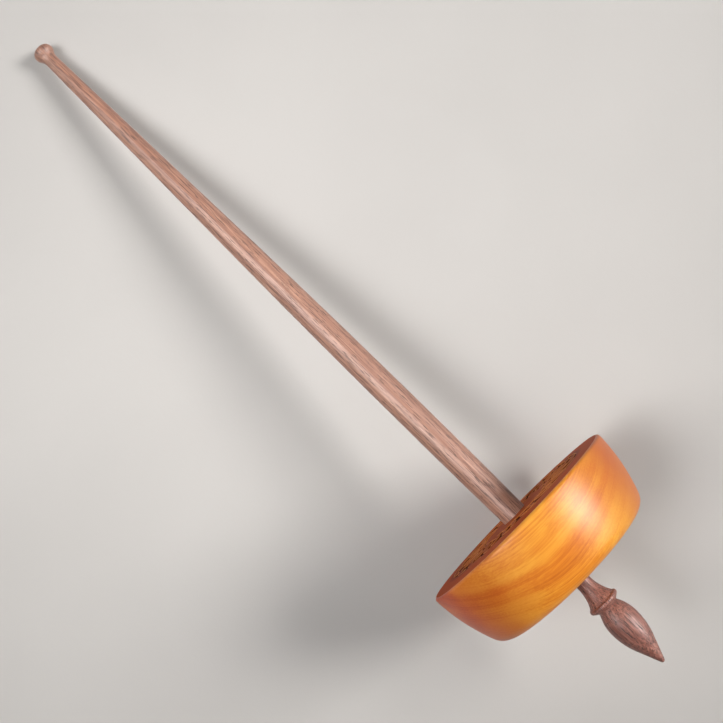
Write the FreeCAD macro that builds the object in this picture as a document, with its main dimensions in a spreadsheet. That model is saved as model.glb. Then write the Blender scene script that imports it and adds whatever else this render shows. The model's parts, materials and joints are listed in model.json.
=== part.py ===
# Bottom-whorl drop spindle of three turned pieces: a shaft, a whorl and a pointed foot.
#
# Every piece is turned about its own Z axis, tip up, with height 0 at the foot's point. One shared
# placement then lays the spindle down, so that it rests on the whorl's rim and on the tip's knob:
# tip towards -X, foot towards +X, and the origin under the middle of the lying spindle.

import FreeCAD, Part
import math
import os

import Sketcher

DIMENSIONS = (
    # Shaft
    ("spindle_length", 299.0, "foot's point to the top of the knob"),
    ("knob_radius", 3.7, "widest part of the knob"),
    ("knob_height", 296.5, "height of the knob's widest part"),
    ("knob_round", 2.1, "rounding of the knob's edge"),
    ("flare_curve", 5.0, "radius of the hollow under the knob"),
    ("belly_radius", 4.83, "widest part of the shaft"),
    ("belly_height", 113.5, "height of the shaft's widest part"),
    ("belly_curve", 4900.0, "profile radius above the belly"),
    ("tip_neck_radius", 2.4, "thinnest part, under the knob"),
    # Whorl
    ("bore_radius", 4.5, "bore, and the shaft where it goes through"),
    ("whorl_radius", 37.6, "widest circle of the whorl"),
    ("rim_height", 63.5, "height of the whorl's widest circle"),
    ("rim_round", 1.0, "rounding of the upper rim"),
    ("field_rise", 1.4, "rise of the flat top over the widest circle"),
    ("field_radius", 29.0, "edge of the flat top, where the border begins to fall"),
    ("whorl_depth", 24.2, "widest circle down to the underside"),
    ("side_curve", 64.0, "profile radius of the convex side"),
    ("base_round", 5.2, "rounding of the lower edge"),
    ("base_radius", 28.2, "edge of the flat underside"),
    # Engraving on the flat top
    ("ring_count", 16, "linked rings around the top"),
    ("ring_pitch", 20.75, "circle that the rings' centres lie on"),
    ("ring_radius", 6.3, "middle of each ring's band"),
    ("ring_band", 1.5, "width of each ring's band"),
    ("carve_depth", 0.5, "depth of the sunk ground between the rings"),
    ("carve_inner", 13.4, "inner edge of the sunk ground"),
    ("carve_outer", 28.1, "outer edge of the sunk ground"),
    # Foot
    ("foot_tenon_radius", 2.4, "tenon that joins the foot to the shaft"),
    ("foot_tenon_length", 14.0, "length of that tenon"),
    ("glue_gap", 0.05, "glue line around the foot's tenon"),
    ("socket_spare", 1.0, "air left above the tenon in its socket"),
    ("neck_radius", 2.8, "foot's neck below the whorl"),
    ("neck_end_height", 34.2, "height where the neck begins to flare"),
    ("collar_flare", 14.0, "radius of the hollow flare above the collar"),
    ("collar_radius", 5.65, "sharp collar"),
    ("collar_height", 25.9, "height of the collar's widest part"),
    ("collar_round", 0.85, "rounding of the collar's lower side"),
    ("groove_radius", 3.6, "bottom of the groove between collar and bulb"),
    ("bulb_radius", 5.6, "widest part of the bulb"),
    ("bulb_height", 16.9, "height of the bulb's widest part"),
    ("bulb_shoulder", 13.5, "profile radius above the bulb's widest part"),
    ("bulb_belly", 23.0, "profile radius below the bulb's widest part"),
    ("point_round", 0.8, "rounding of the foot's point"),
)

START, END, CENTRE = 1, 2, 3  # the points of a line or an arc, as constraints number them

# The spindle's lean when it lies on the rim and the knob. Both touch the floor along rounded
# edges, so the floor is the common tangent of two arcs in the profile.
RIM_ARM = "(Dims.whorl_radius - Dims.rim_round)"
KNOB_ARM = "(Dims.knob_radius - Dims.knob_round)"
ARM_FALL = f"({RIM_ARM} - {KNOB_ARM})"
REST_SPAN = "(Dims.knob_height - Dims.rim_height)"
LEAN = (
    f"(atan({ARM_FALL} / {REST_SPAN})"
    f" - asin((Dims.knob_round - Dims.rim_round) / sqrt({ARM_FALL}^2 + {REST_SPAN}^2)))"
)
RIM_LIFT = f"({RIM_ARM} * cos({LEAN}) + Dims.rim_round)"

# The knob's crown is an arc centred on the axis that meets the knob's rounded edge smoothly.
CROWN_RISE = "(Dims.spindle_length - Dims.knob_height)"
CROWN_CURVE = (
    f"(({KNOB_ARM}^2 + {CROWN_RISE}^2 - Dims.knob_round^2)"
    f" / (2 * ({CROWN_RISE} - Dims.knob_round)))"
)
TIP_REACH = (
    f"((Dims.spindle_length - {CROWN_CURVE} - Dims.rim_height) * cos({LEAN}) + {CROWN_CURVE})"
)
FOOT_REACH = f"((Dims.rim_height - Dims.point_round) * cos({LEAN}) + Dims.point_round)"

UNDERSIDE = "(Dims.rim_height - Dims.whorl_depth)"
FIELD_HEIGHT = "(Dims.rim_height + Dims.field_rise)"
CARVE_FLOOR = f"({FIELD_HEIGHT} - Dims.carve_depth)"


def make_sheet(doc):
    """The spreadsheet of driving dimensions, in millimetres, one alias to a row."""
    sheet = doc.addObject("Spreadsheet::Sheet", "Dims")
    for row, (name, value, note) in enumerate(DIMENSIONS, start=1):
        sheet.set(f"A{row}", name)
        sheet.set(f"B{row}", str(value))
        sheet.set(f"C{row}", note)
        sheet.setAlias(f"B{row}", name)
    doc.recompute()
    return sheet


def origin_part(body, role):
    return next(part for part in body.Origin.OriginFeatures if part.Role == role)


def make_body(doc, label):
    body = doc.addObject("PartDesign::Body", label)
    body.Label = label
    return body


class Outline:
    """A sketch in a body's XZ plane, x being the radius and y the height, built edge by edge.

    Edges are first drawn roughly in place. Constraints then give each its exact size and place, so
    the rough points, offsets and angles only choose which way a curve bends.
    """

    def __init__(self, body, name):
        self.sketch = body.newObject("Sketcher::SketchObject", name)
        self.sketch.AttachmentSupport = [(origin_part(body, "XZ_Plane"), "")]
        self.sketch.MapMode = "FlatFace"

    def value(self, expression):
        found = self.sketch.evalExpression(expression)
        return float(getattr(found, "Value", found))

    def line(self, start, end, construction=False):
        """A straight edge between two rough points. Its ends are START and END."""
        points = [FreeCAD.Vector(*point, 0) for point in (start, end)]
        return self.sketch.addGeometry(Part.LineSegment(*points), construction)

    def arc(self, centre, radius, angle_from, angle_to):
        """A counter-clockwise arc between two rough angles, in degrees."""
        circle = Part.Circle(FreeCAD.Vector(*centre, 0), FreeCAD.Vector(0, 0, 1), radius)
        angles = (math.radians(angle_from), math.radians(angle_to))
        return self.sketch.addGeometry(Part.ArcOfCircle(circle, *angles), False)

    def join(self, *points):
        """Joins edge ends pairwise: (edge, end, edge, end)."""
        for pair in points:
            self.sketch.addConstraint(Sketcher.Constraint("Coincident", *pair))

    def blend(self, *points):
        """Joins edge ends pairwise with a common tangent."""
        for pair in points:
            self.sketch.addConstraint(Sketcher.Constraint("Tangent", *pair))

    def upright(self, *edges):
        for edge in edges:
            self.sketch.addConstraint(Sketcher.Constraint("Vertical", edge))

    def level(self, *edges):
        for edge in edges:
            self.sketch.addConstraint(Sketcher.Constraint("Horizontal", edge))

    def on_axis(self, *points):
        """Puts edge points on the turning axis."""
        for edge, end in points:
            self.sketch.addConstraint(Sketcher.Constraint("PointOnObject", edge, end, -2))

    def bind(self, kind, edge, *rest):
        """Adds a dimension to an edge, or to one of its points, and binds it to an expression."""
        *point, expression = rest
        value = self.value(expression)
        number = self.sketch.addConstraint(Sketcher.Constraint(kind, edge, *point, value))
        self.sketch.setExpression(f"Constraints[{number}]", expression)

    def place(self, edge, end, radius=None, height=None):
        """Binds a point's radius, its height, or both."""
        if radius is not None:
            self.bind("DistanceX", edge, end, radius)
        if height is not None:
            self.bind("DistanceY", edge, end, height)


def turn(body, outline, name, kind="PartDesign::Revolution", axis=None):
    """Turns a sketch through a full circle about the body's Z axis, or about another axis."""
    feature = body.newObject(kind, name)
    feature.Profile = outline.sketch
    feature.ReferenceAxis = axis or (origin_part(body, "Z_Axis"), [""])
    feature.Angle = 360.0
    return feature


def lay_down(body):
    """Lays a body down as the whole spindle lies, on the rim and the knob."""
    across = FreeCAD.Vector(0, 1, 0)
    body.Placement = FreeCAD.Placement(FreeCAD.Vector(), FreeCAD.Rotation(across, -90))
    body.setExpression("Placement.Rotation.Angle", f"-90 deg - {LEAN}")
    body.setExpression(
        "Placement.Base.x",
        f"({TIP_REACH} - {FOOT_REACH}) / 2 + Dims.rim_height * cos({LEAN})",
    )
    body.setExpression("Placement.Base.z", f"{RIM_LIFT} + Dims.rim_height * sin({LEAN})")


def make_shaft(doc, size):
    """The walnut stick: knob, thin neck, taper, belly, and a parallel end with a socket."""
    body = make_body(doc, "shaft")
    outline = Outline(body, "shaft_outline")
    socket_radius = "(Dims.foot_tenon_radius + Dims.glue_gap)"
    socket_top = f"({UNDERSIDE} + Dims.foot_tenon_length + Dims.socket_spare)"
    top = size["spindle_length"]
    field = outline.value(FIELD_HEIGHT)
    underside = outline.value(UNDERSIDE)
    crown_curve = outline.value(CROWN_CURVE)
    knob_arm = outline.value(KNOB_ARM)
    belly = (size["belly_radius"], size["belly_height"])
    neck = (size["tip_neck_radius"], size["knob_height"] - size["flare_curve"])
    rough_sweep = math.atan2(belly[0] - neck[0], neck[1] - belly[1])
    taper_end = (
        belly[0] - size["belly_curve"] * (1 - math.cos(rough_sweep)),
        belly[1] + size["belly_curve"] * math.sin(rough_sweep),
    )

    crown = outline.arc((0, top - crown_curve), crown_curve, 70, 90)
    knob = outline.arc((knob_arm, size["knob_height"]), size["knob_round"], -35, 70)
    flare_centre = (neck[0] + size["flare_curve"], neck[1])
    flare = outline.arc(flare_centre, size["flare_curve"], 145, 181)
    taper = outline.line(neck, taper_end)
    belly_centre = (belly[0] - size["belly_curve"], belly[1])
    upper_belly = outline.arc(belly_centre, size["belly_curve"], 0, math.degrees(rough_sweep))
    lower_curve = (belly[1] - field) ** 2 / 2 / (belly[0] - size["bore_radius"])
    lower_belly = outline.arc((belly[0] - lower_curve, belly[1]), lower_curve, -0.8, 0)
    parallel = outline.line((size["bore_radius"], field), (size["bore_radius"], underside))
    socket = (outline.value(socket_radius), outline.value(socket_top))
    end_face = outline.line((size["bore_radius"], underside), (socket[0], underside))
    socket_wall = outline.line((socket[0], underside), socket)
    socket_floor = outline.line(socket, (0, socket[1]))
    core = outline.line((0, socket[1]), (0, top))

    outline.on_axis((crown, CENTRE), (crown, END), (socket_floor, END))
    outline.blend((crown, START, knob, END), (knob, START, flare, START))
    outline.blend((flare, END, taper, START), (taper, END, upper_belly, END))
    outline.join(
        (upper_belly, START, lower_belly, END),
        (lower_belly, START, parallel, START),
        (parallel, END, end_face, START),
        (end_face, END, socket_wall, START),
        (socket_wall, END, socket_floor, START),
        (socket_floor, END, core, START),
        (core, END, crown, END),
    )
    outline.upright(parallel, socket_wall)
    outline.level(end_face, socket_floor)
    outline.place(crown, END, height="Dims.spindle_length")
    outline.place(knob, CENTRE, KNOB_ARM, "Dims.knob_height")
    outline.bind("Radius", knob, "Dims.knob_round")
    outline.bind("Radius", flare, "Dims.flare_curve")
    outline.place(flare, END, radius="Dims.tip_neck_radius")
    outline.place(upper_belly, START, "Dims.belly_radius", "Dims.belly_height")
    outline.place(upper_belly, CENTRE, height="Dims.belly_height")
    outline.bind("Radius", upper_belly, "Dims.belly_curve")
    outline.place(lower_belly, CENTRE, height="Dims.belly_height")
    outline.place(parallel, START, "Dims.bore_radius", FIELD_HEIGHT)
    outline.place(parallel, END, height=UNDERSIDE)
    outline.place(socket_wall, END, socket_radius, socket_top)
    turn(body, outline, "shaft_turning")
    return body


def make_whorl(doc, size):
    """The disc: bored, rounded and engraved on its flat top with a chain of linked rings."""
    body = make_body(doc, "whorl")
    outline = Outline(body, "whorl_outline")
    rim_arm = outline.value(RIM_ARM)
    field = outline.value(FIELD_HEIGHT)
    underside = outline.value(UNDERSIDE)
    base_centre = (size["base_radius"], underside + size["base_round"])
    side_top = (size["whorl_radius"], size["rim_height"])

    top = outline.line((size["bore_radius"], field), (size["field_radius"], field))
    rim_top = (rim_arm, size["rim_height"] + size["rim_round"])
    border = outline.line((size["field_radius"], field), rim_top)
    rim = outline.arc((rim_arm, side_top[1]), size["rim_round"], -3, 87)
    side_centre = (side_top[0] - size["side_curve"], side_top[1] + size["rim_round"])
    side = outline.arc(side_centre, size["side_curve"], -23, -3)
    base_edge = outline.arc(base_centre, size["base_round"], -90, -23)
    base = outline.line((size["base_radius"], underside), (size["bore_radius"], underside))
    bore = outline.line((size["bore_radius"], underside), (size["bore_radius"], field))

    outline.join((bore, END, top, START), (top, END, border, START), (base, END, bore, START))
    outline.blend((border, END, rim, END), (rim, START, side, END))
    outline.blend((side, START, base_edge, END), (base_edge, START, base, START))
    outline.level(top, base)
    outline.upright(bore)
    outline.place(top, START, "Dims.bore_radius", FIELD_HEIGHT)
    outline.place(top, END, radius="Dims.field_radius")
    outline.place(rim, CENTRE, RIM_ARM, "Dims.rim_height")
    outline.bind("Radius", rim, "Dims.rim_round")
    outline.bind("Radius", side, "Dims.side_curve")
    outline.bind("Radius", base_edge, "Dims.base_round")
    outline.place(base_edge, CENTRE, radius="Dims.base_radius")
    outline.place(base, END, height=UNDERSIDE)
    turn(body, outline, "whorl_turning")
    doc.recompute()
    engrave(doc, body, size)
    return body


def box_outline(body, name, low, high):
    """A rectangle in the XZ plane, its corners' radius and height bound to expressions."""
    outline = Outline(body, name)
    left, bottom = [outline.value(place) for place in low]
    right, top = [outline.value(place) for place in high]
    floor = outline.line((left, bottom), (right, bottom))
    outer = outline.line((right, bottom), (right, top))
    roof = outline.line((right, top), (left, top))
    inner = outline.line((left, top), (left, bottom))
    outline.join(
        (floor, END, outer, START),
        (outer, END, roof, START),
        (roof, END, inner, START),
        (inner, END, floor, START),
    )
    outline.level(floor, roof)
    outline.upright(outer, inner)
    outline.place(floor, START, *low)
    outline.place(roof, START, *high)
    return outline


def engrave(doc, body, size):
    """Sinks the ground between two circles, and leaves the linked rings level with the top."""
    above = f"({FIELD_HEIGHT} + Dims.carve_depth)"
    ground = box_outline(
        body, "ground_outline", ("Dims.carve_inner", CARVE_FLOOR), ("Dims.carve_outer", above)
    )
    cut(doc, body, lambda: turn(body, ground, "sunk_ground", "PartDesign::Groove"))

    root = f"({CARVE_FLOOR} - Dims.carve_depth)"
    band_inner = "(Dims.ring_pitch + Dims.ring_radius - Dims.ring_band / 2)"
    band_outer = "(Dims.ring_pitch + Dims.ring_radius + Dims.ring_band / 2)"
    band = box_outline(body, "ring_outline", (band_inner, root), (band_outer, FIELD_HEIGHT))
    pitch, field = size["ring_pitch"], band.value(FIELD_HEIGHT)
    middle = band.line((pitch, field - size["carve_depth"]), (pitch, field), construction=True)
    band.upright(middle)
    band.place(middle, START, "Dims.ring_pitch", CARVE_FLOOR)
    band.place(middle, END, height=FIELD_HEIGHT)
    ring = turn(body, band, "ring", axis=(band.sketch, ["Axis0"]))
    doc.recompute()
    ring_set = body.newObject("PartDesign::PolarPattern", "linked_rings")
    ring_set.Originals = [ring]
    ring_set.Axis = (origin_part(body, "Z_Axis"), [""])
    ring_set.Angle = 360
    ring_set.setExpression("Occurrences", "Dims.ring_count")
    body.Tip = ring_set
    doc.recompute()


def cut(doc, body, make_feature):
    """Makes a cutting feature, and fails if it takes nothing away."""
    before = body.Shape.Volume
    make_feature()
    doc.recompute()
    if not body.Shape.Volume < before:
        raise RuntimeError(f"a cut in {body.Label} removes nothing")


def make_foot(doc, size):
    """The finial: tenon, neck, sharp collar, groove, bulb and conical point."""
    body = make_body(doc, "foot")
    outline = Outline(body, "foot_outline")
    tenon_top = f"({UNDERSIDE} + Dims.foot_tenon_length)"
    collar_arm = "(Dims.collar_radius - Dims.collar_round)"
    underside = outline.value(UNDERSIDE)
    top = outline.value(tenon_top)
    bulb = (size["bulb_radius"], size["bulb_height"])
    collar = (outline.value(collar_arm), size["collar_height"])
    groove = (size["groove_radius"], (bulb[1] + 3 * collar[1]) / 4)
    cone = ((size["point_round"], size["point_round"]), (bulb[0] * 2 / 3, bulb[1] / 2))
    web_end = (collar[0], collar[1] - size["collar_round"])
    neck = (size["neck_radius"], size["neck_end_height"])
    tenon = size["foot_tenon_radius"]

    point = outline.arc((0, size["point_round"]), size["point_round"], -90, -24)
    taper = outline.line(*cone)
    belly_centre = (bulb[0] - size["bulb_belly"], bulb[1])
    belly = outline.arc(belly_centre, size["bulb_belly"], -24, 0)
    shoulder_centre = (bulb[0] - size["bulb_shoulder"], bulb[1])
    shoulder = outline.arc(shoulder_centre, size["bulb_shoulder"], 0, 31)
    web = outline.line(groove, web_end)
    lip = outline.arc(collar, size["collar_round"], -60, 55)
    flare_centre = (neck[0] + size["collar_flare"], neck[1])
    flare = outline.arc(flare_centre, size["collar_flare"], 180, 214)
    neck_wall = outline.line(neck, (neck[0], underside))
    seat = outline.line((neck[0], underside), (tenon, underside))
    tenon_wall = outline.line((tenon, underside), (tenon, top))
    tenon_end = outline.line((tenon, top), (0, top))
    core = outline.line((0, top), (0, 0))

    outline.on_axis((point, CENTRE), (point, START), (tenon_end, END))
    outline.blend((point, END, taper, START), (taper, END, belly, START), (web, END, lip, START))
    outline.join(
        (belly, END, shoulder, START),
        (shoulder, END, web, START),
        (lip, END, flare, END),
        (flare, START, neck_wall, START),
        (neck_wall, END, seat, START),
        (seat, END, tenon_wall, START),
        (tenon_wall, END, tenon_end, START),
        (tenon_end, END, core, START),
        (core, END, point, START),
    )
    outline.upright(neck_wall, tenon_wall)
    outline.level(seat, tenon_end)
    outline.place(point, CENTRE, height="Dims.point_round")
    outline.bind("Radius", point, "Dims.point_round")
    outline.place(belly, END, "Dims.bulb_radius", "Dims.bulb_height")
    outline.place(belly, CENTRE, height="Dims.bulb_height")
    outline.bind("Radius", belly, "Dims.bulb_belly")
    outline.place(shoulder, CENTRE, height="Dims.bulb_height")
    outline.bind("Radius", shoulder, "Dims.bulb_shoulder")
    outline.place(shoulder, END, radius="Dims.groove_radius")
    outline.place(lip, CENTRE, collar_arm, "Dims.collar_height")
    outline.bind("Radius", lip, "Dims.collar_round")
    outline.place(flare, CENTRE, height="Dims.neck_end_height")
    outline.bind("Radius", flare, "Dims.collar_flare")
    outline.place(flare, START, "Dims.neck_radius", "Dims.neck_end_height")
    outline.place(neck_wall, END, height=UNDERSIDE)
    outline.place(tenon_wall, END, "Dims.foot_tenon_radius", tenon_top)
    turn(body, outline, "foot_turning")
    return body


def check(doc, bodies):
    """Stops if any object failed or any piece isn't one valid solid."""
    for item in doc.Objects:
        if {"Invalid", "Error"} & set(item.State):
            raise RuntimeError(f"{item.Name} is {item.State}")
    for body in bodies:
        shape = body.Shape
        if shape.isNull() or not shape.isValid() or len(shape.Solids) != 1:
            raise RuntimeError(f"{body.Label} isn't one valid solid")


def main():
    doc = FreeCAD.newDocument("drop_spindle")
    make_sheet(doc)
    size = {name: value for name, value, _ in DIMENSIONS}
    bodies = [make(doc, size) for make in (make_shaft, make_whorl, make_foot)]
    for body in bodies:
        lay_down(body)
    doc.recompute()
    check(doc, bodies)
    os.makedirs("parts", exist_ok=True)
    for body in bodies:
        body.Shape.exportStep(f"parts/{body.Label}.step")
        print(body.Label, f"{body.Shape.Volume:.1f} mm3")


main()
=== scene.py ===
"""Looks for the bottom-whorl drop spindle: oiled walnut, and a glossy whorl with a carved, burnt top.

Lengths are in metres in Blender and in the row frame. The whorl's sizes and the materials' patterns
are worked out in the spindle's own frame, in millimetres: height 0 at the foot's point, Z up to the tip.
"""

import json
import math

import bpy
from mathutils import Color, Matrix, Vector


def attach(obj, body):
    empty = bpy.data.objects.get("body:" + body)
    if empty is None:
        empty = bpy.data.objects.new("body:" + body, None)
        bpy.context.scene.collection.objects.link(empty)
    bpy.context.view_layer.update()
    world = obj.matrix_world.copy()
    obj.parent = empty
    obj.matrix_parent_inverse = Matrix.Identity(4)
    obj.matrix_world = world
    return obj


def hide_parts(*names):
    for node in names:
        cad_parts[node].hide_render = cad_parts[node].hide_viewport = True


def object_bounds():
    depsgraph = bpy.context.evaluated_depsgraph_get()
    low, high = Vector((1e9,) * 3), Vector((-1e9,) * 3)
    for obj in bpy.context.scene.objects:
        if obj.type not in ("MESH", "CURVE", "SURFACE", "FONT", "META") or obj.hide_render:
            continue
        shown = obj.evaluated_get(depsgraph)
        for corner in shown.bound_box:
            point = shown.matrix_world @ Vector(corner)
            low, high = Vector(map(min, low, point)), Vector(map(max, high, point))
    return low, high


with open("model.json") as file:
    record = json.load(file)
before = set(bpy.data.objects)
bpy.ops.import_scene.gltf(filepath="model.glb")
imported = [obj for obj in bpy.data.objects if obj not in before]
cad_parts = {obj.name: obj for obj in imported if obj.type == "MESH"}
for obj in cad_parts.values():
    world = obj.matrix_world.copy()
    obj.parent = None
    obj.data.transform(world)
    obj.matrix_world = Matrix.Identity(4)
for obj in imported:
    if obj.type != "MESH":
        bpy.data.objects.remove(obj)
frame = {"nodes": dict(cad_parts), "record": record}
CAD_LOW, CAD_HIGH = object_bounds()

MM = 0.001
MOUNTS = {mount["name"]: mount for mount in frame["record"]["mounts"]}


def spindle_frame():
    """The matrix from the spindle's own frame to the row frame, from the record's mounts."""
    up = Vector(MOUNTS["yarn_neck"]["axis"]).normalized()
    side = Vector((0, 1, 0))
    axes = Matrix((side.cross(up), side, up)).transposed()
    return Matrix.Translation(MOUNTS["foot_point"]["pos_m"]) @ axes.to_4x4()


SPINDLE = spindle_frame()

# The picture's turn about the vertical: the spindle lies from the upper left to the lower right.
PICTURE_TURN = math.radians(44.43)


def clamp(value):
    return min(max(value, 0.0), 1.0)


def ease(value):
    """A smooth step from 0 to 1, flat at both ends and beyond."""
    value = clamp(value)
    return value * value * (3 - 2 * value)


def heading(vector):
    """The angle of a 2D vector from its first axis, in radians."""
    return math.atan2(vector.y, vector.x)


def polar(radius, angle):
    return Vector((radius * math.cos(angle), radius * math.sin(angle)))


# --------------------------------------------------------------------------- the whorl's shape


class Whorl:
    """The whorl's sizes in millimetres, in the spindle's own frame, and its carved surface."""

    bore = 4.5
    bore_edge = 0.2
    radius = 37.6
    rim_height = 63.5
    rim_round = 1.0
    field_height = 64.9
    field_radius = 29.0
    underside = 39.3
    base_radius = 28.2
    base_round = 5.2
    side_curve = 64.0
    carve_inner, carve_outer = 13.4, 28.1
    carve_depth = 0.5
    rings = 16
    ring_pitch = 20.75
    ring_radius = 6.3
    ring_band = 1.9  # width at half the height of its sloped edges
    ring_edge = 0.4  # width of each sloped edge
    wall = 0.25  # width of the slope down to the sunk ground, at its inner and outer edges
    dip = 0.3  # how deep a ring goes where it passes under another
    dip_reach = 1.6 * ring_band  # from a crossing to where a ring is level again
    columns = 48 * rings
    carve_rows = 76
    side_rows, edge_rows = 16, 8

    @staticmethod
    def arc(centre, radius, angle_from, angle_to, steps):
        """Points on an arc of the outline, as (radius, height), angles in radians."""
        angles = [angle_from + (angle_to - angle_from) * step / steps for step in range(steps + 1)]
        return [Vector(centre) + polar(radius, angle) for angle in angles]

    @classmethod
    def top_outline(cls):
        """The flat top's (radius, height) points from the bore outwards, closest where it is carved."""
        low, high = cls.carve_inner - 2 * cls.wall, cls.carve_outer + 2 * cls.wall
        carved = [low + (high - low) * row / cls.carve_rows for row in range(cls.carve_rows + 1)]
        plain = [cls.bore, cls.bore + cls.bore_edge, 7.0, 10.0]
        return [(radius, cls.field_height) for radius in (*plain, *carved, cls.field_radius)]

    @classmethod
    def outline(cls):
        """The turned outline from the bore's top, over the rim, to the bore's lower edge."""
        rim = Vector((cls.radius - cls.rim_round, cls.rim_height))
        base = Vector((cls.base_radius, cls.underside + cls.base_round))
        # The side's arc touches both rounded edges from outside, so its centre is found from theirs.
        to_rim, to_base = cls.side_curve - cls.rim_round, cls.side_curve - cls.base_round
        gap = (base - rim).length
        along = (to_rim**2 - to_base**2 + gap**2) / (2 * gap)
        off = math.sqrt(to_rim**2 - along**2)
        run = (base - rim).normalized()
        side = rim + along * run + off * Vector((run.y, -run.x))
        rim_turn, base_turn = heading(rim - side), heading(base - side)
        # The border is a straight fall from the field's edge, and touches the rim's rounding.
        edge = Vector((cls.field_radius, cls.field_height))
        reach = rim - edge
        fall = heading(reach) + math.asin(cls.rim_round / reach.length)
        rounding = cls.arc(rim, cls.rim_round, fall + math.pi / 2, rim_turn, cls.edge_rows)

        points = cls.top_outline()
        points += [edge.lerp(rounding[0], share) for share in (0.25, 0.5, 0.75)]
        points += rounding
        points += cls.arc(side, cls.side_curve, rim_turn, base_turn, cls.side_rows)[1:]
        points += cls.arc(base, cls.base_round, base_turn, -math.pi / 2, cls.edge_rows)[1:]
        points += [(radius, cls.underside) for radius in (20.0, 12.0, cls.bore + cls.bore_edge, cls.bore)]
        return points

    @classmethod
    def standing(cls, point, number):
        """How high a ring's band stands at a point: 1 level with the top, 0 at the ground."""
        centre = polar(cls.ring_pitch, number * math.tau / cls.rings)
        off = abs((point - centre).length - cls.ring_radius)
        return ease((cls.ring_band / 2 + cls.ring_edge / 2 - off) / cls.ring_edge)

    @classmethod
    def under(cls, point, number):
        """How far a ring dips, 0 to 1: each passes under one neighbour outside, and the other inside."""
        turn = math.tau / cls.rings
        rise = math.sqrt(cls.ring_radius**2 - (math.sin(turn / 2) * cls.ring_pitch) ** 2)
        middle = cls.ring_pitch * math.cos(turn / 2)
        dips = []
        for side, reach in ((0.5, middle + rise), (-0.5, middle - rise)):
            crossing = polar(reach, (number + side) * turn)
            dips.append(ease(2 - 2 * (point - crossing).length / cls.dip_reach))
        return max(dips)

    @classmethod
    def carving(cls, point):
        """The surface's depth under the flat top at a point, in millimetres."""
        inward = (point.length - cls.carve_inner) / cls.wall
        outward = (cls.carve_outer - point.length) / cls.wall
        walls = clamp(min(inward, outward) + 0.5)
        if walls == 0.0:
            return 0.0
        nearest = round(heading(point) * cls.rings / math.tau)
        ground = 1.0
        for number in (nearest - 1, nearest, nearest + 1):
            stands = cls.standing(point, number)
            if stands:
                sink = cls.dip / cls.carve_depth * cls.under(point, number)
                ground = min(ground, 1.0 - stands * (1.0 - sink))
        return cls.carve_depth * ground * walls


# --------------------------------------------------------------------------- materials


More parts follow.
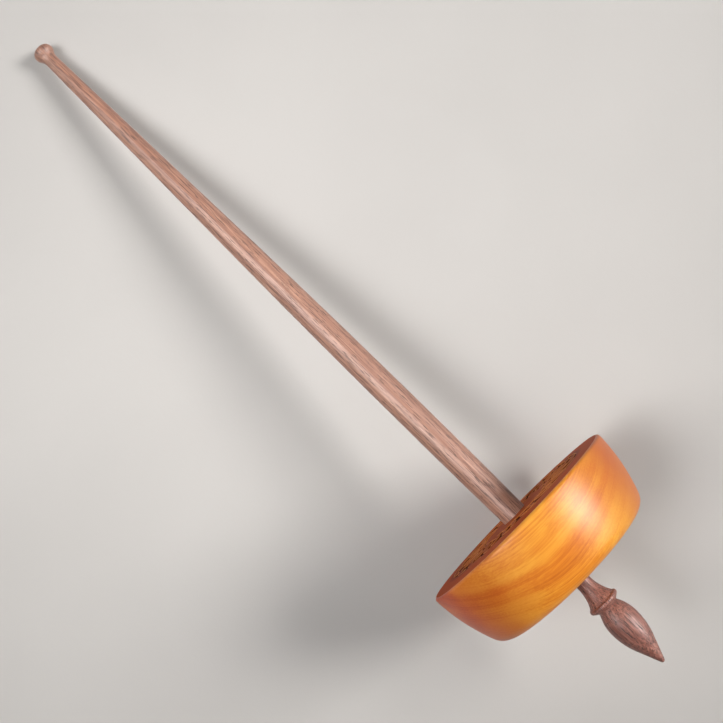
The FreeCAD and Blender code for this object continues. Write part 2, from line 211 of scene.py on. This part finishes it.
class Graph:
    """A material and its node tree, with one short call for each kind of node."""

    # A colour mix's own sockets, which share their names with those of the other kinds of mix
    MIX_SHARE, MIX_FIRST, MIX_SECOND, MIX_RESULT = 0, 6, 7, 2

    def __init__(self, name):
        self.material = bpy.data.materials.new(name)
        self.material.use_nodes = True
        self.tree = self.material.node_tree
        self.shader = self.tree.nodes["Principled BSDF"]

    def node(self, kind, **settings):
        made = self.tree.nodes.new(kind)
        for name, value in settings.items():
            setattr(made, name, value)
        return made

    def feed(self, socket, value):
        """Links a socket to another one, or sets it to a plain value."""
        if isinstance(value, bpy.types.NodeSocket):
            self.tree.links.new(value, socket)
        else:
            socket.default_value = value

    def math(self, operation, *values):
        made = self.node("ShaderNodeMath", operation=operation)
        for socket, value in zip(made.inputs, values):
            self.feed(socket, value)
        return made.outputs[0]

    def vector(self, operation, *values):
        made = self.node("ShaderNodeVectorMath", operation=operation)
        for socket, value in zip(made.inputs, values):
            self.feed(socket, value)
        return made.outputs["Value" if operation in ("DOT_PRODUCT", "LENGTH") else "Vector"]

    def place(self):
        """The point on the surface in the spindle's own frame, in millimetres."""
        where = self.node("ShaderNodeTexCoord").outputs["Object"]
        mapping = self.node("ShaderNodeMapping", vector_type="TEXTURE")
        self.feed(mapping.inputs["Vector"], where)
        self.feed(mapping.inputs["Location"], SPINDLE.translation)
        self.feed(mapping.inputs["Rotation"], SPINDLE.to_euler())
        self.feed(mapping.inputs["Scale"], (MM, MM, MM))
        return mapping.outputs[0]

    def split(self, point):
        made = self.node("ShaderNodeSeparateXYZ")
        self.feed(made.inputs[0], point)
        return made.outputs

    def noise(self, point, pitch, detail=2.0, roughness=0.5, colour=False):
        """Noise whose features are about pitch millimetres long in x, y and z."""
        stretched = self.vector("DIVIDE", point, pitch)
        made = self.node("ShaderNodeTexNoise")
        self.feed(made.inputs["Vector"], stretched)
        self.feed(made.inputs["Scale"], 1.0)
        self.feed(made.inputs["Detail"], detail)
        self.feed(made.inputs["Roughness"], roughness)
        return made.outputs["Color" if colour else "Fac"]

    def warp(self, point, pitch, reach, detail):
        """The point moved aside by up to half of reach, so that straight grain wanders."""
        wander = self.noise(point, pitch, detail=detail, colour=True)
        wander = self.vector("SUBTRACT", wander, (0.5, 0.5, 0.5))
        return self.vector("MULTIPLY_ADD", wander, reach, point)

    def layers(self, point, across):
        """Growth layers' coordinates: the same number three times, rising in the direction across."""
        rise = self.vector("DOT_PRODUCT", point, across)
        return self.vector("MULTIPLY", (1, 1, 1), rise)

    def spread(self, value, low, high, to_low=0.0, to_high=1.0):
        """A smooth step of value from low to high."""
        made = self.node("ShaderNodeMapRange", interpolation_type="SMOOTHSTEP")
        for socket, number in zip(made.inputs, (value, low, high, to_low, to_high)):
            self.feed(socket, number)
        return made.outputs[0]

    def ramp(self, value, *stops):
        """Colours along a value: (position, colour) pairs."""
        made = self.node("ShaderNodeValToRGB")
        band = made.color_ramp
        while len(band.elements) < len(stops):
            band.elements.new(1.0)
        for element, (position, colour) in zip(band.elements, stops):
            element.position = position
            element.color = (*colour, 1)
        self.feed(made.inputs[0], value)
        return made.outputs[0]

    def mix(self, share, first, second, blend_type="MIX"):
        made = self.node("ShaderNodeMix", data_type="RGBA", blend_type=blend_type)
        self.feed(made.inputs[self.MIX_SHARE], share)
        for number, value in ((self.MIX_FIRST, first), (self.MIX_SECOND, second)):
            plain = not isinstance(value, bpy.types.NodeSocket)
            self.feed(made.inputs[number], (*value, 1) if plain else value)
        return made.outputs[self.MIX_RESULT]

    def bump(self, height, distance, strength=1.0, under=None):
        """A bump of a height from 0 to 1, which stands for a real distance in metres."""
        made = self.node("ShaderNodeBump")
        self.feed(made.inputs["Height"], height)
        self.feed(made.inputs["Distance"], distance)
        self.feed(made.inputs["Strength"], strength)
        if under is not None:
            self.feed(made.inputs["Normal"], under)
        return made.outputs[0]

    def finish(self, **sockets):
        for name, value in sockets.items():
            self.feed(self.shader.inputs[name.replace("_", " ").title()], value)
        return self.material


def shade(red, green, blue):
    """A linear colour from the 0 to 255 values of a paint chart."""
    return tuple(Color((red / 255, green / 255, blue / 255)).from_srgb_to_scene_linear())


def walnut(name, tones, pore, facing, open_pores, coat):
    """Oiled walnut, its grain along the spindle: growth layers, fine fibres, and open pores.

    tones are light, middle and dark. facing is where the layers face, in degrees about the spindle.
    """
    graph = Graph(name)
    place = graph.place()
    board = graph.warp(place, (9, 9, 55), (1.6, 1.6, 0), detail=3)
    light, middle, dark = tones

    # Growth layers: sheets that wander a little, and lie nearly along the spindle
    turn = math.radians(facing)
    sheets = graph.layers(board, (math.cos(turn), math.sin(turn), 0.03))
    layer = graph.noise(sheets, (1.6, 1.6, 1.6), detail=3, roughness=0.6)
    # Fibres, strands and streaks: thin and long, from the finest to the broadest
    fibre = graph.noise(board, (0.30, 0.30, 22), detail=3, roughness=0.65)
    streak = graph.noise(board, (0.42, 0.42, 26), detail=3, roughness=0.65)
    strand = graph.noise(board, (0.9, 0.9, 75), detail=2)
    cloud = graph.noise(place, (5, 5, 38), detail=2)

    tone = graph.math("MULTIPLY", layer, 0.34)
    tone = graph.math("MULTIPLY_ADD", fibre, 0.36, tone)
    tone = graph.math("MULTIPLY_ADD", strand, 0.30, tone)
    tone = graph.ramp(tone, (0.36, light), (0.50, middle), (0.68, dark))
    tone = graph.mix(graph.spread(cloud, 0.35, 0.75, 0.0, 0.45), tone, middle)
    tone = graph.mix(graph.spread(streak, 0.57, 0.64, 0.0, 0.6), tone, dark)

    # Pores: short dark dashes along the grain, thicker in the darker part of each layer
    dash = graph.noise(board, (0.32, 0.32, 5.0))
    pores = graph.spread(graph.math("MULTIPLY_ADD", layer, 0.16, dash), 0.64, 0.71)
    tone = graph.mix(graph.math("MULTIPLY", pores, open_pores), tone, pore)

    relief = graph.bump(fibre, 0.010 * MM, 0.35)
    relief = graph.bump(graph.math("SUBTRACT", 1.0, pores), 0.05 * MM, open_pores, under=relief)
    gloss = graph.math("MULTIPLY_ADD", pores, 0.2, graph.spread(fibre, 0.3, 0.7, 0.46, 0.56))
    graph.shader.inputs["Specular IOR Level"].default_value = 0.8
    graph.shader.inputs["Coat Weight"].default_value = coat
    graph.shader.inputs["Coat Roughness"].default_value = 0.55
    return graph.finish(base_color=tone, roughness=gloss, normal=relief)


def shaft_walnut():
    """The shaft's lighter walnut."""
    tones = (shade(203, 158, 134), shade(163, 116, 95), shade(98, 59, 47))
    return walnut("oiled_walnut", tones, shade(42, 23, 18), facing=75, open_pores=0.65, coat=0.8)


def foot_walnut():
    """The foot's walnut, with more open pores; its tones, darker than the shaft's, are partly painted
    shade from the whorl above.
    """
    tones = (shade(186, 130, 112), shade(130, 76, 62), shade(82, 43, 34))
    return walnut("dark_and_shaded_walnut", tones, shade(24, 12, 10), facing=35, open_pores=0.9, coat=0.6)


def whorl_wood(graph, place, tones, red):
    """Close-grained orange-yellow wood: its colour, with painted shade at two edges, and its fibres'
    relief.

    tones go from light to dark, and red is a redder wood tone, also multiplied in as painted shade.
    """
    board = graph.warp(place, (34, 50, 34), (7.0, 3.0, 7.0), detail=1.5)
    dark = tones[-1]

    # Growth layers, tilted to the whorl's face: broad soft bands, with thin lines that come and go
    slope = math.radians(31)
    sheets = graph.layers(board, (math.sin(slope), 0.06, math.cos(slope)))
    broad = graph.noise(sheets, (9, 9, 9), detail=1)
    thin = graph.noise(sheets, (1.0, 1.0, 1.0), detail=3, roughness=0.75)
    fade = graph.spread(graph.noise(place, (16, 24, 16)), 0.35, 0.65, 0.20, 0.44)
    fibre = graph.noise(board, (0.5, 22, 0.5), detail=3, roughness=0.6)
    cloud = graph.noise(place, (20, 50, 20), detail=2)

    tone = graph.math("MULTIPLY_ADD", fibre, 0.20, graph.math("MULTIPLY", broad, 0.46))
    tone = graph.math("ADD", tone, graph.math("MULTIPLY", thin, fade))
    tone = graph.ramp(tone, *zip((0.32, 0.44, 0.54, 0.70), tones))
    tone = graph.mix(graph.spread(cloud, 0.38, 0.72, 0.0, 0.35), tone, red)

    # Towards one edge, a redder heartwood tone with painted shade; towards the other, a painted-shade
    # strip
    wobble = graph.noise(place, (15, 15, 15), detail=2)
    aside = graph.math("MULTIPLY_ADD", wobble, 12.0, graph.split(place)[1])
    # Redder and darker towards one edge: partly a heartwood tone, partly painted shade
    heart_and_shade = graph.spread(aside, 6.0, -34.0, 0.0, 0.95)
    tone = graph.mix(heart_and_shade, tone, graph.mix(0.84, tone, red, blend_type="MULTIPLY"))
    # A darker strip towards the other edge of the board: painted shade
    tone = graph.mix(graph.spread(aside, 18.0, 42.0, 0.0, 0.9), tone, dark)
    vessel = graph.noise(board, (0.15, 2.0, 0.15), detail=1)
    tone = graph.mix(graph.spread(vessel, 0.68, 0.76, 0.0, 0.25), tone, dark)
    return tone, graph.bump(fibre, 0.010 * MM, 0.35)


def glossy_side():
    """The polished side and underside of the whorl."""
    graph = Graph("glossy_side")
    tones = (shade(238, 177, 68), shade(229, 160, 53), shade(213, 130, 36), shade(180, 88, 20))
    tone, relief = whorl_wood(graph, graph.place(), tones, shade(200, 84, 5))
    graph.shader.inputs["Specular IOR Level"].default_value = 0.50
    return graph.finish(base_color=tone, roughness=0.40, normal=relief)


def carved_top():
    """The whorl's top: duller wood, darker as painted shade, with burnt ground in the carving and painted
    highlights on its edges.
    """
    graph = Graph("carved_top")
    place = graph.place()
    # Darker, redder tones than the side's: painted shade of the top, which faces away from the light
    tones = (shade(190, 96, 22), shade(172, 76, 14), shade(150, 56, 9), shade(116, 38, 5))
    red = shade(180, 72, 6)
    tone, relief = whorl_wood(graph, place, tones, red)

    radius = graph.vector("LENGTH", graph.vector("MULTIPLY", place, (1, 1, 0)))
    border = Whorl.carve_outer + 1.0
    # A redder, darker border towards the rim: painted shade
    tone = graph.mix(graph.spread(radius, border - 0.5, border + 2.0, 0.0, 0.75), tone, red)

    height = graph.split(place)[2]
    inside = graph.math("LESS_THAN", radius, border)
    unburnt = Whorl.field_height - 0.08
    burnt = Whorl.field_height - Whorl.carve_depth + 0.1
    char = graph.math("MULTIPLY", graph.spread(height, burnt, unburnt, 1.0, 0.0), inside)
    scorch = graph.noise(place, (0.7, 0.7, 0.7), detail=3)
    soot = graph.ramp(scorch, (0.3, shade(44, 18, 8)), (0.75, shade(104, 46, 18)))
    tone = graph.mix(char, tone, soot)

    # Painted highlights: thin light lines along the top of the carving's walls, where the edges catch the
    # light
    edge_highlight = graph.spread(height, unburnt - 0.10, unburnt - 0.02)
    edge_highlight = graph.math("MULTIPLY", edge_highlight, graph.spread(height, unburnt, unburnt + 0.06, 1.0, 0.0))
    edge_highlight = graph.math("MULTIPLY", edge_highlight, inside)
    tone = graph.mix(graph.math("MULTIPLY", edge_highlight, 0.8), tone, shade(240, 164, 92))

    relief = graph.bump(graph.math("MULTIPLY", scorch, char), 0.18 * MM, under=relief)
    rough = graph.math("MULTIPLY_ADD", char, 0.3, 0.62)
    graph.shader.inputs["Specular IOR Level"].default_value = 0.1
    return graph.finish(base_color=tone, roughness=rough, normal=relief)


def floor_paint():
    """A matt pale surface with a faint unevenness."""
    graph = Graph("pale_floor")
    where = graph.node("ShaderNodeTexCoord").outputs["Object"]
    mottle = graph.noise(where, (0.09, 0.09, 0.09), detail=3)
    tone = graph.ramp(mottle, (0.3, shade(180, 178, 175)), (0.7, shade(185, 183, 180)))
    grit = graph.noise(where, (0.0012, 0.0012, 0.0012))
    return graph.finish(base_color=tone, roughness=0.7, normal=graph.bump(grit, 0.05 * MM, 0.3))


# --------------------------------------------------------------------------- the whorl's mesh


def carved_whorl():
    """The whorl as one closed turned mesh, its top carved with the chain of linked rings."""
    outline = Whorl.outline()
    count = Whorl.columns
    # The flat top and the border lie above this height, and the rounded rim and the side below it.
    top_edge = Whorl.rim_height + Whorl.rim_round - 0.02
    points, faces, slots = [], [], []
    for radius, height in outline:
        flat_top = height == Whorl.field_height
        for column in range(count):
            spot = polar(radius, math.tau * column / count)
            depth = Whorl.carving(spot) if flat_top else 0.0
            points.append((spot.x * MM, spot.y * MM, (height - depth) * MM))
    for row, (_, height) in enumerate(outline):
        below = (row + 1) % len(outline)
        slot = int(min(height, outline[below][1]) > top_edge)
        for column in range(count):
            beside = (column + 1) % count
            corners = ((row, column), (below, column), (below, beside), (row, beside))
            faces.append([ring * count + place for ring, place in corners])
            slots.append(slot)
    mesh = bpy.data.meshes.new("carved_whorl")
    mesh.from_pydata(points, [], faces)
    mesh.transform(SPINDLE)
    mesh.polygons.foreach_set("material_index", slots)
    mesh.shade_smooth()
    mesh.set_sharp_from_angle(angle=math.radians(70))
    mesh.materials.append(glossy_side())
    mesh.materials.append(carved_top())
    whorl = bpy.data.objects.new("carved_whorl", mesh)
    bpy.context.scene.collection.objects.link(whorl)
    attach(whorl, "root")
    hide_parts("whorl")


# --------------------------------------------------------------------------- the studio


def lamp(name, place, target, size, power, colour):
    """A square soft lamp of a size in metres and a power in watts, at a place and facing a target."""
    light = bpy.data.lights.new(name, "AREA")
    light.shape = "SQUARE"
    light.size = size
    light.energy = power
    light.color = colour
    item = bpy.data.objects.new(name, light)
    item.location = place
    item.rotation_euler = (target - place).to_track_quat("-Z", "Y").to_euler()
    item.visible_camera = False
    bpy.context.scene.collection.objects.link(item)
    return light


def make_lamps():
    """A soft key lamp from the right, and a weaker narrow one over the shaft from the left.

    Their places are measured from the object's middle: to the picture's right, to its top, and up.
    """
    centre = (CAD_LOW + CAD_HIGH) / 2
    turn = Matrix.Rotation(PICTURE_TURN, 3, "Z")
    key_place = centre + turn @ Vector((1.60, 0.60, 1.25))
    lamp("key", key_place, centre, size=0.75, power=50.5, colour=(1.0, 0.97, 0.95))
    side_place = centre + turn @ Vector((-0.348, -0.072, 0.53))
    shaft_middle = centre + turn @ Vector((-0.030, 0.030, 0.0))
    side = lamp("side", side_place, shaft_middle, size=0.36, power=0.52, colour=(1.0, 0.98, 0.97))
    side.spread = math.radians(50)


def make_floor(flat, sweep, columns=96, steps=16):
    """A round floor that sweeps up into a wall all round, so that no view shows an edge.

    flat is the radius of its level part, and sweep is the radius of the curve up to the wall.
    """
    turns = [math.radians(90) * step / steps for step in range(steps + 1)]
    outline = [(flat / 2, 0)]
    outline += [(flat + sweep * math.sin(turn), sweep * (1 - math.cos(turn))) for turn in turns]
    wall_top = 1.6 * sweep
    outline += [(flat + sweep, wall_top)]
    points, faces = [(0, 0, 0)], []
    for radius, height in outline:
        points += [(*polar(radius, math.tau * column / columns), height) for column in range(columns)]
    for column in range(columns):
        beside = (column + 1) % columns
        faces.append((0, 1 + column, 1 + beside))
        for row in range(len(outline) - 1):
            near, far = 1 + row * columns, 1 + (row + 1) * columns
            faces.append((near + column, far + column, far + beside, near + beside))
    mesh = bpy.data.meshes.new("floor")
    mesh.from_pydata(points, [], faces)
    mesh.shade_smooth()
    mesh.materials.append(floor_paint())
    floor = bpy.data.objects.new("floor", mesh)
    bpy.context.scene.collection.objects.link(floor)


def make_world(strength):
    world = bpy.data.worlds.new("studio")
    bpy.context.scene.world = world
    world.use_nodes = True
    background = world.node_tree.nodes["Background"]
    background.inputs["Color"].default_value = (0.93, 0.95, 1.0, 1)
    background.inputs["Strength"].default_value = strength


def make_camera():
    """Straight above, a little towards the foot from the object's middle, with the picture's turn."""
    camera = bpy.data.cameras.new("camera")
    camera.sensor_width = 36.0
    camera.lens = 49.79
    item = bpy.data.objects.new("camera", camera)
    item.location = Vector((13.24, 0.78, 362.5)) * MM
    item.rotation_euler = (0, 0, PICTURE_TURN)
    bpy.context.scene.collection.objects.link(item)
    bpy.context.scene.camera = item


def main():
    frame["nodes"]["shaft"].data.materials[0] = shaft_walnut()
    frame["nodes"]["foot"].data.materials[0] = foot_walnut()
    carved_whorl()

    make_floor(flat=3.0, sweep=2.0)
    make_world(0.10)
    make_lamps()
    make_camera()
    bpy.context.scene.view_settings.view_transform = "Standard"


main()
